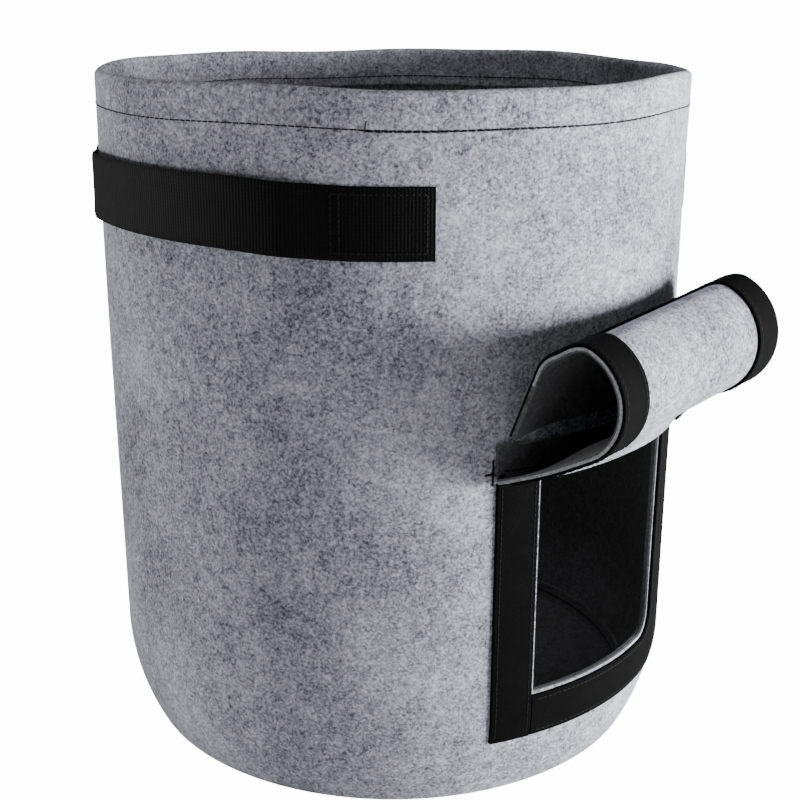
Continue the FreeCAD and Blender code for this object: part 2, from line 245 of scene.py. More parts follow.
def cutEdge(name):
    # The cut edge of the same felt: packed fibre ends, paler than the face.
    m = newMaterial(name)
    place = addNode(m, "ShaderNodeTexCoord").outputs["Object"]
    grain = addNode(m, "ShaderNodeTexNoise", None, {"Vector": place, "Scale": 1 / (1.2 * mm), "Detail": 4.0})
    colour = ramp(m, grain.outputs["Fac"], [(0.3, "#6C6E73"), (0.55, "#8F9095"), (0.75, "#B0B1B6")])
    return finishSurface(m, colour, 0.95, grain.outputs["Fac"], (0.3, 0.4 * mm), specular=0.1)


webbingLook = {"colour": "#050505", "high": "#0C0C0D", "rib": 1.55, "yarn": 0.8}   # rib and yarn in mm; high is the painted highlight on the ribs' crowns


def polypropyleneWebbing(name, look):
    # Woven polypropylene webbing: flat black yarns beaten into cross ribs, with a dull gloss on the crown of
    # each that is painted into the colour as a highlight.
    m = newMaterial(name)
    uv = addNode(m, "ShaderNodeUVMap", {"uv_map": "UVMap"}).outputs["UV"]
    split = addNode(m, "ShaderNodeSeparateXYZ", None, {"Vector": uv})
    times, add = {"operation": "MULTIPLY"}, {"operation": "MULTIPLY_ADD"}
    along = addNode(m, "ShaderNodeMath", times, {0: split.outputs["X"], 1: tau / (look["rib"] * mm)})
    across = addNode(m, "ShaderNodeMath", times, {0: split.outputs["Y"], 1: tau / (2 * look["yarn"] * mm)})
    ribs = addNode(m, "ShaderNodeMath", {"operation": "SINE"}, {0: along.outputs[0]})
    yarns = addNode(m, "ShaderNodeMath", {"operation": "SINE"}, {0: across.outputs[0]})
    weave = addNode(m, "ShaderNodeMath", times, {0: ribs.outputs[0], 1: yarns.outputs[0]})
    both = addNode(m, "ShaderNodeMath", add, {0: weave.outputs[0], 1: 0.7, 2: ribs.outputs[0]})
    place = addNode(m, "ShaderNodeTexCoord").outputs["Object"]
    fuzz = addNode(m, "ShaderNodeTexNoise", None, {"Vector": place, "Scale": 1 / (1.5 * mm), "Detail": 4.0})
    height = addNode(m, "ShaderNodeMath", add, {0: fuzz.outputs["Fac"], 1: 0.8, 2: both.outputs[0]})
    level = addNode(m, "ShaderNodeMapRange", None, {
        "Value": height.outputs[0], "From Min": -1.4, "From Max": 2.2})
    # painted highlight and shade: the colour follows the weave's height, lighter on the crowns and darker in the
    # troughs
    colour = ramp(m, level.outputs[0], [(0.1, "#040404"), (0.5, look["colour"]), (0.95, look["high"])])
    return finishSurface(m, colour, 0.66, height.outputs[0], (0.35, 0.22 * mm), specular=0.08)


def brushedLoop(name, colours, tuftSize):
    # Nylon touch tape: a knitted ground with a pile of loops or hooks too fine to see singly, drawn coarser.
    m = newMaterial(name)
    place = addNode(m, "ShaderNodeTexCoord").outputs["Object"]
    pile = addNode(m, "ShaderNodeTexNoise", None, {
        "Vector": place, "Scale": 1 / (tuftSize * mm), "Detail": 5.0, "Roughness": 0.7})
    wear = addNode(m, "ShaderNodeTexNoise", None, {"Vector": place, "Scale": 1 / (11 * mm), "Detail": 3.0})
    both = addNode(m, "ShaderNodeMath", {"operation": "MULTIPLY_ADD"}, {
        0: wear.outputs["Fac"], 1: 0.4, 2: pile.outputs["Fac"]})
    colour = ramp(m, both.outputs[0], [(0.45, colours[0]), (0.7, colours[1]), (0.95, colours[2])])
    return finishSurface(m, colour, 0.85, pile.outputs["Fac"], (0.6, 0.35 * mm), sheen=0.0, specular=0.05)


def polyesterThread(name):
    # Spun black polyester thread: fine twisted plies, matt with a faint sheen.
    m = newMaterial(name)
    place = addNode(m, "ShaderNodeTexCoord").outputs["Object"]
    ply = addNode(m, "ShaderNodeTexNoise", None, {"Vector": place, "Scale": 1 / (0.7 * mm), "Detail": 2.0})
    colour = ramp(m, ply.outputs["Fac"], [(0.35, "#070708"), (0.7, "#161618")])
    return finishSurface(m, colour, 0.7, ply.outputs["Fac"], (0.3, 0.1 * mm), specular=0.12)


feltOuter = needledFelt("grey needled felt", feltLook)
# painted shade: a darker copy of the grey felt, laid on the faces inside the bag, inside the roll and on cut
# edges that lie in shade, standing in for the deep shade there
feltPaintedShade = needledFelt("needled felt darkened for painted shade", {
    **feltLook, "pale": "#626266", "middle": "#4C4C4F", "dark": "#363638"})
feltEdge = cutEdge("cut felt edge")
webbing = polypropyleneWebbing("woven polypropylene webbing", webbingLook)
loopPile = brushedLoop("brushed nylon loop tape", ("#020202", "#050505", "#0B0B0C"), 0.9)
hookPile = brushedLoop("nylon hook tape", ("#020202", "#050505", "#0B0B0C"), 0.7)
thread = polyesterThread("spun polyester thread")
print("materials made")


wall = {
    "radius": 150 * mm, "tall": 345 * mm, "thick": 3 * mm,
    "curveTall": 52 * mm, "curveInset": 39.5 * mm, "curveRadius": 110.5 * mm,   # how the foot rounds under
    "hemLow": 323 * mm, "hemStitch": 328.8 * mm, "paintedShadeUp": 311 * mm,
    "sway": 0.9 * mm, "rimSway": 1.3 * mm,                                       # hand-sewn unevenness
}
window = {"half": 18.2, "low": 59.5 * mm, "high": 169 * mm, "corner": 12 * mm, "facing": -90.0}


def wallPoint(angle, up, out=0.0):
    # A point of the wall's outer face, at an angle in degrees from +X and a height, moved out along its normal.
    # The radius is constant above the foot and a circular arc below it, plus slow waves that grow upwards.
    a, z, out = np.broadcast_arrays(np.radians(angle), np.asarray(up, float), np.asarray(out, float))
    low = np.minimum(z - wall["curveTall"], 0)
    reach = np.sqrt(np.maximum(wall["curveRadius"] ** 2 - low ** 2, 1e-9))
    radius = np.where(low < 0, wall["curveInset"] + reach, wall["radius"])
    normalOut, normalUp = reach / wall["curveRadius"], low / wall["curveRadius"]
    grow = smooth(z / wall["tall"])
    waves = np.sin(3 * a + 0.7) + 0.6 * np.sin(5 * a - 1.2 + 11 * z) + 0.4 * np.sin(8 * a + 2.0 - 17 * z)
    wave = wall["sway"] * grow * waves
    rim = smooth((z - 0.29) / 0.055)
    wave = wave + wall["rimSway"] * rim * (0.5 * np.sin(6 * a + 1.9) + 0.35 * np.sin(11 * a))
    lift = wall["rimSway"] * rim * (0.6 * np.sin(4 * a + 0.4) + 0.3 * np.sin(9 * a + 1.0))
    r = radius + wave + out * normalOut
    return np.stack([r * np.cos(a), r * np.sin(a), z + lift + out * normalUp], axis=-1)


def feltWall():
    # A closed profile carried round the axis: up the outer face, over the folded rim, down the hem's inner layer
    # and the inner face, and back under the foot. The window's cells are left out, its corner is rounded by a
    # fan of quads, and the cut edge joins the two faces round it.
    half, face, cells = window["half"], window["facing"], 40      # the window is cells x cells of the grid
    angles = np.concatenate([np.linspace(face - half, face + half, cells + 1)[:-1],
                             np.linspace(face + half, face - half + 360, 325)[:-1]])
    columns = len(angles)
    heights = np.concatenate([
        np.linspace(1.2 * mm, wall["curveTall"], 22)[:-1],
        np.linspace(wall["curveTall"], window["low"], 5)[:-1],
        np.linspace(window["low"], window["high"], cells + 1),
        np.linspace(window["high"], wall["hemLow"], 34)[1:]])
    lowRow = 21 + 4                       # the rows below the window
    highRow = lowRow + cells
    hemHeights = np.linspace(wall["hemLow"], wall["tall"] - 3 * mm, 9)[1:]
    fold = np.linspace(0, math.pi, 9)[1:-1]
    path = [(z, 0.0) for z in heights] + [(z, 0.0) for z in hemHeights]
    path += [(wall["tall"] - 3 * mm + 3 * mm * math.sin(t), -3 * mm + 3 * mm * math.cos(t)) for t in fold]
    path += [(z, -6 * mm) for z in hemHeights[::-1]]
    turned = np.linspace(0, math.pi / 2, 5)
    path += [(wall["hemLow"] + 1.4 * mm - 1.4 * mm * math.sin(t), -4.6 * mm - 1.4 * mm * math.cos(t))
             for t in turned]
    innerStart = len(path)
    path += [(z, -wall["thick"]) for z in heights[::-1]]
    path += [(0.5 * mm, -2.2 * mm), (0.4 * mm, -0.8 * mm)]
    path = np.array(path)
    rows = len(path)
    grid = wallPoint(angles[None, :], path[:, 0][:, None], path[:, 1][:, None])
    vertices = grid.reshape(-1, 3)
    faces = gridFaces(rows, columns, closed=True)
    here, lastRow = np.arange(columns), (rows - 1) * columns
    after = (here + 1) % columns
    faces = np.concatenate([faces, np.stack([here + lastRow, after + lastRow, after, here], axis=-1)])
    cellRow = np.repeat(np.arange(rows), columns)
    cellColumn = np.tile(np.arange(columns), rows)
    outerCell = (cellRow >= lowRow) & (cellRow < highRow)
    innerLow, innerHigh = innerStart + len(heights) - 1 - highRow, innerStart + len(heights) - 1 - lowRow
    innerCell = (cellRow >= innerLow) & (cellRow < innerHigh)
    hole = (outerCell | innerCell) & (cellColumn < cells)
    faces, cellRow = faces[~hole], cellRow[~hole]
    paintedShadeRow = np.where(path[:, 0] < wall["paintedShadeUp"], 1, 0)      # painted shade: the dark felt on the inner face starts a little below the hem
    material = np.where(cellRow >= innerStart, paintedShadeRow[cellRow], 0)
    # the window's edge loop, anticlockwise from its lower left corner as seen from outside
    steps = int(round(window["corner"] / (window["high"] - window["low"]) * cells))
    across = int(round(window["corner"] / (2 * rad(half) * wall["radius"]) * cells))
    there, back = np.arange(cells), np.arange(cells, 0, -1)
    loopRow = np.concatenate([np.zeros(cells, int), there, np.full(cells, cells), back]) + lowRow
    loopColumn = np.concatenate([there, np.full(cells, cells), back, np.zeros(cells, int)])
    outerLoop = loopRow * columns + loopColumn
    innerLoop = (innerStart + len(heights) - 1 - loopRow) * columns + loopColumn
    first, end = cells - across, cells + steps
    count = end - first
    turn = np.linspace(0, math.pi / 2, count + 1)[1:-1]
    arcAngle = angles[cells] - np.degrees(window["corner"] / wall["radius"]) * (1 - np.sin(turn))
    arcUp = window["low"] + window["corner"] * (1 - np.cos(turn))
    extra, loops = [vertices], []
    total = len(vertices)
    fans = []
    for loop, out in ((outerLoop, 0.0), (innerLoop, -wall["thick"])):
        extra.append(wallPoint(arcAngle, arcUp, out))
        arc = np.concatenate([[loop[first]], np.arange(total, total + count - 1), [loop[end]]])
        total += count - 1
        edge = loop[first:end + 1]
        quad = np.stack([edge[1:-2], edge[2:-1], arc[2:-1], arc[1:-2]], axis=-1)
        tips = np.array([[edge[0], edge[1], arc[1]], [edge[-2], edge[-1], arc[-2]]])
        if out < 0:
            quad, tips = quad[:, ::-1], tips[:, ::-1]
        fans.append((quad, tips))
        loops.append(np.concatenate([loop[:first], arc, loop[end + 1:]]))
    a, b = loops
    everything = np.concatenate(extra)
    extra.append(everything[a] * 0.6 + everything[b] * 0.4)
    c = total + np.arange(len(a))
    rim = np.stack([a, np.roll(a, -1), np.roll(c, -1), c], axis=-1)
    rimInside = np.stack([c, np.roll(c, -1), np.roll(b, -1), b], axis=-1)
    parts = [faces, rim, rimInside, fans[0][0], fans[1][0], fans[0][1], fans[1][1]]
    # painted shade: the inner strip of the window's cut edge and the inner face round its corner take the dark
    # felt
    slots = np.concatenate([material, np.full(len(rim), 2), np.ones(len(rim)),
                            np.zeros(len(fans[0][0])), np.ones(len(fans[1][0])), [0, 0], [1, 1]])
    materials = [feltOuter, feltPaintedShade, feltEdge]
    obj = makeMesh("feltWall", np.concatenate(extra), parts, materials, slots.astype(int))
    return facedOut(obj)


wallPiece = feltWall()
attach(wallPiece, "bag")
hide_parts("wall_panel")
print("wall made")

base = {"radius": 133 * mm, "thick": 2.8 * mm, "flange": 12 * mm, "crown": 0.8 * mm}


def feltBase():
    # The base disc: a profile turned round the axis, nearly flat, with its allowance turned up inside the wall.
    around = np.radians(np.arange(0, 360, 3.0))
    inner = base["radius"] - base["thick"]
    spread = np.linspace(0.04, 1, 12)
    profile = [(base["radius"] * t, 0.15 * mm + base["crown"] * (1 - t * t)) for t in spread * 0.985]
    profile += [(base["radius"], 1.8 * mm), (base["radius"] + 0.2 * mm, 6 * mm),
                (base["radius"] + 0.2 * mm, base["flange"] - 1 * mm),
                (base["radius"] - 0.6 * mm, base["flange"]), (inner + 0.5 * mm, base["flange"]),
                (inner, base["flange"] - 1 * mm), (inner, 6 * mm)]
    profile += [(inner * t, 3.2 * mm + base["crown"] * (1 - t * t)) for t in spread[::-1] * 0.985]
    profile = np.array(profile)
    ring = np.stack([profile[:, :1] * np.cos(around), profile[:, :1] * np.sin(around),
                     np.repeat(profile[:, 1:], len(around), axis=1)], axis=-1)
    rows, columns = ring.shape[:2]
    vertices = np.concatenate([ring.reshape(-1, 3), [[0, 0, profile[0, 1]], [0, 0, profile[-1, 1]]]])
    here, lastRow = np.arange(columns), (rows - 1) * columns
    after = (here + 1) % columns
    caps = [np.stack([after, here, np.full(columns, rows * columns)], axis=-1),
            np.stack([here + lastRow, after + lastRow, np.full(columns, rows * columns + 1)], axis=-1)]
    faces = gridFaces(rows, columns, closed=True)
    outerRows = 14                         # up to the top of the turned-up edge
    # painted shade: the base's faces inside the bag take the dark felt
    inside = (np.arange(rows - 1) > outerRows).astype(int)
    slots = np.concatenate([np.repeat(inside, columns), np.zeros(columns), np.ones(columns)])
    return facedOut(makeMesh("feltBase", vertices, [faces] + caps, [feltOuter, feltPaintedShade], slots.astype(int)))


basePiece = feltBase()
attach(basePiece, "bag")
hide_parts("base_disc")


stitch = {"pitch": 3.3 * mm, "gap": 0.15 * mm, "wide": 0.62 * mm, "high": 0.4 * mm}


def stitches(name, rows, body, nodes, settings=stitch, hold=None):
    # Dashes of thread along each row: a row is (points, normals) whose consecutive points are one stitch apart.
    # Each dash is a short rod whose height above the cloth falls away at both ends, like a stitch entering it.
    along = np.array([-0.5, -0.36, 0.0, 0.36, 0.5])
    turn = np.radians(np.arange(6) * 60.0)
    each = len(along) * len(turn)          # vertices of one dash
    vertices, faces, total = [], [], 0
    for points, normals in rows:
        start, end = points[:-1], points[1:]
        middle, run = (start + end) / 2, end - start
        long = np.linalg.norm(run, axis=1, keepdims=True)
        direction = run / long
        normal = normals[:-1] + normals[1:]
        normal /= np.linalg.norm(normal, axis=1, keepdims=True)
        side = np.cross(direction, normal)
        swell = np.array([0.45, 0.9, 1.0, 0.9, 0.45])
        sunk = np.array([-0.35, 0.15, 0.3, 0.15, -0.35]) * settings["high"]
        reach = along[None, :, None, None] * (long[:, None, None, :] - settings["gap"])
        beside = swell[:, None] * np.cos(turn) * settings["wide"] / 2
        above = swell[:, None] * np.sin(turn) * settings["high"] / 2 + sunk[:, None]
        place = middle[:, None, None, :] + direction[:, None, None, :] * reach
        place = place + side[:, None, None, :] * beside[None, :, :, None]
        place = place + normal[:, None, None, :] * above[None, :, :, None]
        count = len(start)
        vertices.append(place.reshape(-1, 3))
        ring = gridFaces(len(along), len(turn), closed=True)
        offset = (np.arange(count) * each)[:, None, None] + total
        faces.append((ring[None] + offset).reshape(-1, 4))
        caps = np.array([[5, 4, 3, 2, 1, 0], [24, 25, 26, 27, 28, 29]])
        faces.append((caps[None] + offset).reshape(-1, 6))
        total += count * each
    obj = makeMesh(name, np.concatenate(vertices), faces, [thread], sharp=80)
    facedOut(obj)
    if hold is None:
        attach(obj, body)
    else:
        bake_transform(obj)
    if nodes:
        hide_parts(*nodes)
    return obj


def wallRow(angleFrom, angleTo, upFrom, upTo, out, pitch=stitch["pitch"], face=1):
    # a row of stitch ends over the wall, evenly spaced between two places, with the face's normals
    reach = math.hypot(rad(angleTo - angleFrom) * wall["radius"], upTo - upFrom)
    count = max(2, int(round(reach / pitch)) + 1)
    angle, up = np.linspace(angleFrom, angleTo, count), np.linspace(upFrom, upTo, count)
    points = wallPoint(angle, up, out)
    return points, (wallPoint(angle, up, out + 1 * mm) - points) / mm * face


hemUp = wall["hemStitch"]
tick = -139.5   # where the hem's sewing starts and ends, with a crossing stitch and a doubled line beyond it
stitches("hemStitchOutside", [
    wallRow(tick, tick + 360, hemUp, hemUp, 0.05 * mm),
    wallRow(tick, tick + 62, hemUp - 0.55 * mm, hemUp - 0.1 * mm, 0.05 * mm, 3.9 * mm),
    wallRow(tick, tick + 0.1, hemUp - 1.2 * mm, hemUp + 3.8 * mm, 0.25 * mm, 5 * mm),
], "bag", ["hem_needle_thread"])
stitches("hemStitchInside", [wallRow(0, 360, hemUp, hemUp, -6.05 * mm, face=-1)], "bag", ["hem_bobbin_thread"])
stitches("sideSeamStitch", [wallRow(90, 90.05, 60 * mm, 322 * mm, -3.05 * mm, face=-1)],
         "bag", ["side_seam_thread"])
baseAngles = np.linspace(0, tau, 250)
baseRing = np.stack([np.cos(baseAngles), np.sin(baseAngles), 0 * baseAngles], axis=-1)
stitches("baseSeamStitch", [(baseRing * 130.1 * mm + [0, 0, 7 * mm], -baseRing)], "bag", ["base_seam_thread"])
print("stitches made")


handle = {
    "wide": 32 * mm, "thick": 1.5 * mm, "standoff": 3 * mm,
    "half": 51.75, "sewnHalf": 33.5, "bend": 8.0, "boxAngle": 1.4,       # degrees round the wall
    "sewnMid": 289.7 * mm, "gripMid": 292 * mm, "boxMargin": 3.5 * mm,
}


def strapSurface(middle, offset, t, out):
    # A strap's surface: offset is the angle from its middle, t runs across it from -1 to 1. It lies on the wall
    # at its sewn ends and stands off it between them, where it also rides a little higher.
    free = smooth((handle["sewnHalf"] - np.abs(offset)) / handle["bend"])
    raised = smooth((handle["sewnHalf"] + 6 - np.abs(offset)) / 26)
    climb = handle["sewnMid"] + (handle["gripMid"] - handle["sewnMid"]) * raised
    curl = 0.5 * mm * free * np.abs(t) ** 3     # the edges of webbing lift a little where it is free
    up = climb + t * handle["wide"] / 2
    return wallPoint(middle + offset, up, out + 0.15 * mm + (handle["standoff"] - 0.1 * mm) * free + curl)


def strapHalf(side, end, middle, sign, nodes):
    # One half of a handle, from its sewn end to the middle of its grip: a thin slab with rounded edges.
    count = 90
    offset = sign * np.linspace(handle["half"], 0.0, count)
    t = np.linspace(-1, 1, 21)
    thin = 1 - 0.55 * np.abs(t) ** 14
    top = strapSurface(middle, offset[:, None], t[None, :], handle["thick"] * thin[None, :])
    under = strapSurface(middle, offset[:, None], t[None, :], handle["thick"] * (1 - thin[None, :]))
    u = np.broadcast_to(np.radians(np.abs(offset))[:, None] * wall["radius"], (count, 21))
    v = np.broadcast_to(t[None, :] * handle["wide"] / 2, (count, 21))
    obj = slabMesh(f"{side}Strap{end}", top, under, [webbing], uv=np.stack([u, v], axis=-1))
    start = strapSurface(middle, sign * (handle["sewnHalf"] - 0.5), 0.0, 0.0)
    finish = strapSurface(middle, sign * (handle["sewnHalf"] - 13.0), 0.0, 0.0)
    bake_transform(obj)
    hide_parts(*nodes)
    return obj


def strapRow(middle, fromOffset, toOffset, fromT, toT):
    # stitch ends on the strap's face
    reach = math.hypot(rad(toOffset - fromOffset) * wall["radius"], (toT - fromT) * handle["wide"] / 2)
    count = int(round(reach / (2.6 * mm))) + 1
    offset, t = np.linspace(fromOffset, toOffset, count), np.linspace(fromT, toT, count)
    points = strapSurface(middle, offset, t, handle["thick"])
    return points, (strapSurface(middle, offset, t, handle["thick"] + 1 * mm) - points) / mm


for side, middle, frontSign in (("left", 180.0, 1), ("right", 0.0, -1)):
    for end, sign in (("Front", frontSign), ("Back", -frontSign)):
        low = end.lower()
        nodes = [f"handle_{side}_{low}_end"] + ([f"handle_{side}_grip"] if end == "Front" else [])
        strapHalf(side, end, middle, sign, nodes)
        inner = sign * (handle["sewnHalf"] + handle["boxAngle"])
        outer = sign * (handle["half"] - handle["boxAngle"])
        edge = 1 - handle["boxMargin"] / (handle["wide"] / 2)
        rows = [strapRow(middle, inner, outer, t, t) for t in (-edge, edge)]
        rows += [strapRow(middle, a, a, -edge, edge) for a in (inner, inner + sign * handle["boxAngle"], outer)]
        stitches(f"{side}StrapStitch{end}", rows, "bag", [f"handle_{side}_{low}_stitching"],
                 {**stitch, "wide": 0.7 * mm, "high": 0.4 * mm})
print("handles made")


tape = {
    "wide": 22 * mm, "thick": 1.5 * mm, "low": 36 * mm, "high": 170.8 * mm,
    "half": 27.0, "margin": 2.5 * mm, "corner": 20 * mm,         # half is in degrees round the wall
}
perDegree = rad(1) * wall["radius"]


def tapeBand(name, angle, up, node):
    # a band of loop tape over the wall: its face is a grid of (angle, height), eased down at its woven edges
    rows, columns = angle.shape
    edge = np.minimum(np.arange(columns), np.arange(columns)[::-1])
    ease = np.where(edge == 0, 0.55, 1.0)[None, :] * np.ones((rows, 1))
    lift = 0.1 * mm
    face, back = wallPoint(angle, up, lift + tape["thick"] * ease), wallPoint(angle, up, lift)
    obj = slabMesh(name, face, back, [loopPile])
    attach(obj, "bag")
    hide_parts(node)


def loopTapeLeft():
    # the straight strip down the left of the window, from end to end
    left = window["facing"] - tape["half"]
    spread = tape["wide"] / perDegree
    steps = [[0, 0.25], np.linspace(0.7, spread - 0.7, 12), [spread - 0.25, spread - 0.05]]
    angle = left + np.concatenate(steps)
    up = np.linspace(tape["low"], tape["high"], 70)
    tapeBand("loopTapeLeft", *np.meshgrid(angle, up), "loop_tape_left")


def roundedPath(x0, x1, y0, y1, corner, counts):
    # a path in the unrolled wall: along the bottom from x0 to x1, round one corner and up the right to y1
    t = np.linspace(0, math.pi / 2, counts[1] + 1)
    alongBottom = np.linspace(x0, x1 - corner, counts[0] + 1)[:-1]
    upRight = np.linspace(y0 + corner, y1, counts[2] + 1)[1:]
    x = np.concatenate([alongBottom, x1 - corner + corner * np.sin(t), np.full(counts[2], x1)])
    y = np.concatenate([np.full(counts[0], y0), y0 + corner * (1 - np.cos(t)), upRight])
    return x, y


def loopTapeLower():
    # the strip along the bottom and up the right, eased round the lower right corner
    right = tape["half"] * perDegree
    start = -right + tape["wide"]
    counts = (44, 16, 60)
    ox, oy = roundedPath(start, right, tape["low"], tape["high"], tape["corner"], counts)
    ix, iy = roundedPath(start, right - tape["wide"], tape["low"] + tape["wide"], tape["high"],
                         window["corner"], counts)
    t = np.concatenate([[0, 0.015], np.linspace(0.05, 0.95, 11), [0.985, 1]])
    x = ox[:, None] * (1 - t) + ix[:, None] * t
    y = oy[:, None] * (1 - t) + iy[:, None] * t
    tapeBand("loopTapeLower", window["facing"] + x / perDegree, y, "loop_tape_lower")


loopTapeLeft()
loopTapeLower()


def unrolledRow(x, y, out, pitch=2.9 * mm):
    # stitch ends along a path in the unrolled wall
    far = np.concatenate([[0], np.cumsum(np.hypot(np.diff(x), np.diff(y)))])
    at = np.linspace(0, far[-1], int(round(far[-1] / pitch)) + 1)
    angle, up = window["facing"] + np.interp(at, far, x) / perDegree, np.interp(at, far, y)
    points = wallPoint(angle, up, out)
    return points, (wallPoint(angle, up, out + 1 * mm) - points) / mm


tapeFace = tape["thick"] + 0.1 * mm
leftEdge, margin = -tape["half"] * perDegree, tape["margin"]
fine = {**stitch, "wide": 0.6 * mm, "high": 0.35 * mm}
lowStitch, highStitch = tape["low"] + margin, tape["high"] - margin
stitches("loopTapeLeftStitch", [
    unrolledRow(np.array([x, x]), np.array([lowStitch, highStitch]), tapeFace)
    for x in (leftEdge + margin, leftEdge + tape["wide"] - margin)
], "bag", ["loop_tape_left_thread"], fine)
lowerFrom = leftEdge + tape["wide"] + margin
outerRoute = roundedPath(lowerFrom, -leftEdge - margin, lowStitch, highStitch,
                         tape["corner"] - margin, (40, 16, 40))
innerRoute = roundedPath(lowerFrom, -leftEdge - tape["wide"] + margin,
                         tape["low"] + tape["wide"] - margin, highStitch,
                         window["corner"] + margin, (40, 16, 40))
stitches("loopTapeLowerStitch", [unrolledRow(*outerRoute, tapeFace), unrolledRow(*innerRoute, tapeFace)],
         "bag", ["loop_tape_lower_thread"], fine)
print("window tape made")


flap = {
    "left": -89.4 * mm, "right": 52.6 * mm, "yaw": 6.0,          # its side edges in its own frame, and its turn
    "thick": 2.2 * mm, "tapeThick": 1.4 * mm, "tapeWide": 20 * mm, "margin": 2.4 * mm,
    "centre": (165.8 * mm, 218.8 * mm), "radius": 26.5 * mm,     # the roll's middle (out, up) at its left end
    "lead": 28.0, "round": 164.0, "tight": 57.0, "tightRadius": 19 * mm, "tail": 45 * mm,
    "grow": 1.06, "tilt": 4.5 * mm,                              # larger at the right end, and higher there
    "drawIn": 0.23, "lift": 5 * mm,                              # the back is drawn in, the lead-in bows up
    "sewnUp": 177.2 * mm, "foldUp": 174.0 * mm, "foldRadius": 2.6 * mm, "headerUp": 189 * mm,
    "clear": 3.2 * mm, "band": 77 * mm,                          # gap to the wall, start of the free edge's tape
}
yaw = rad(flap["yaw"])
acrossAxis = np.array([math.cos(yaw), math.sin(yaw), 0.0])
outAxis = np.array([math.sin(yaw), -math.cos(yaw), 0.0])
upAxis = np.array([0.0, 0.0, 1.0])


def rollPath():
    # The roll's section at its left end, as (out, up) points a small step apart: an arc from the end of the
    # lead-in, a tighter arc over the back, and a straight tail. Each is the running sum of a heading.
    step = 0.25 * mm
    lead = rad(flap["lead"])
    roundLong, tightLong = flap["radius"] * rad(flap["round"]), flap["tightRadius"] * rad(flap["tight"])
    s = np.arange(0, roundLong + tightLong + flap["tail"], step)
    heading = (lead + np.minimum(s, roundLong) / flap["radius"]
               + np.clip(s - roundLong, 0, tightLong) / flap["tightRadius"])
    start = np.array(flap["centre"]) + flap["radius"] * np.array([math.sin(lead), -math.cos(lead)])
    steps = np.stack([np.cos(heading), np.sin(heading)], axis=-1) * step
    return start + np.concatenate([[[0, 0]], np.cumsum(steps, axis=0)[:-1]]), s


rollPoints, rollDistance = rollPath()
rollLong = float(rollDistance[-1])


def wallLine(w):
    # where the column at w is sewn: its angle on the wall, from the same place across the flap's width
    middle, half = (flap["left"] + flap["right"]) / 2, (flap["right"] - flap["left"]) / 2
    return window["facing"] + (w - middle) / half * 27.2


def flapSkin(w, s):
    # The flap's showing face at w across it and s along it. Below 0, s counts stretches: -3 to -2 down the
    # header, -2 to -1 round the fold, -1 to 0 out along the lead-in. Above 0 it is the distance round the roll.
    # The roll grows from left to right, its back is drawn in, and it is pressed clear of the wall.
    w, s = np.broadcast_arrays(np.asarray(w, float), np.asarray(s, float))
    share = (w - flap["left"]) / (flap["right"] - flap["left"])
    far = np.maximum(s, 0)
    grow = (1 + (flap["grow"] - 1) * share) * (1 - flap["drawIn"] * smooth((far - 60 * mm) / (20 * mm)))
    out = np.interp(far, rollDistance, rollPoints[:, 0])
    up = np.interp(far, rollDistance, rollPoints[:, 1])
    cx, cz = flap["centre"]
    out = cx + (out - cx) * grow + 1.5 * mm * share
    up = cz + (up - cz) * grow + flap["tilt"] * share
    rest = w[..., None] * acrossAxis + out[..., None] * outAxis + up[..., None] * upAxis
    x = rest[..., 0]
    front = np.sqrt(np.maximum((wall["radius"] + flap["clear"]) ** 2 - x ** 2, 0))     # as near as it may come
    press = front - (-rest[..., 1])
    soft = 1.5 * mm
    push = soft * np.logaddexp(0, press / soft)                                         # a soft maximum
    rest = rest + push[..., None] * outAxis * np.where(s > 25 * mm, 1, 0)[..., None]
    angle = wallLine(w)
    header = np.clip(s + 3, 0, 1)
    foldTurn = np.clip(s + 2, 0, 1)
    leadShare = np.clip(s + 1, 0, 1)
    turn = foldTurn * rad(118)
    upWall = flap["headerUp"] + (flap["foldUp"] - flap["headerUp"]) * header - flap["foldRadius"] * np.sin(turn)
    outWall = 0.3 * mm + flap["foldRadius"] * (1 - np.cos(turn))
    onWall = wallPoint(angle, upWall, outWall)
    line = onWall + (rest - onWall) * leadShare[..., None]
    sag = (1.2 * mm - flap["lift"] * smooth(share * 4)) * np.sin(np.pi * leadShare)
    line = line + sag[..., None] * (outAxis * 0.5 - upAxis * 0.87)
    return np.where((s < 0)[..., None], line, rest)


def flapNormal(w, s, step=0.02):
    # the showing face's normal, from the cross product of its two directions
    ds = np.where(s < -0.001, step, 0.4 * mm)
    ahead = np.minimum(s + ds, np.where(s < 0, 0, rollLong))
    behind = np.maximum(s - ds, np.where(s < 0, -3, 0))
    along = flapSkin(w, ahead) - flapSkin(w, behind)
    across = flapSkin(w + 0.5 * mm, s) - flapSkin(w - 0.5 * mm, s)
    n = np.cross(across, along)
    return n / np.maximum(np.linalg.norm(n, axis=-1, keepdims=True), 1e-12)


# where the pieces meet, along the flap: the header, the fold, and then about the middle of each CAD panel
cuts = [-3.0, -0.5, 3 * mm, 22 * mm, 38 * mm, 52.5 * mm, 68 * mm, 86 * mm, 104 * mm, rollLong]
freeBand = flap["band"]


def flapSpan(low, high):
    # stations along the flap between two cuts, closer together round the fold
    if low < -1:
        stretches = [np.linspace(-3, -2, 5)[:-1], np.linspace(-2, -1, 9)[:-1], np.linspace(-1, high, 9)]
        return np.concatenate(stretches)
    if low < 0:
        return np.concatenate([np.linspace(low, -0.001, 9), np.linspace(0.2 * mm, high, 4)])
    return np.linspace(low, high, max(4, int((high - low) / (1.0 * mm))))


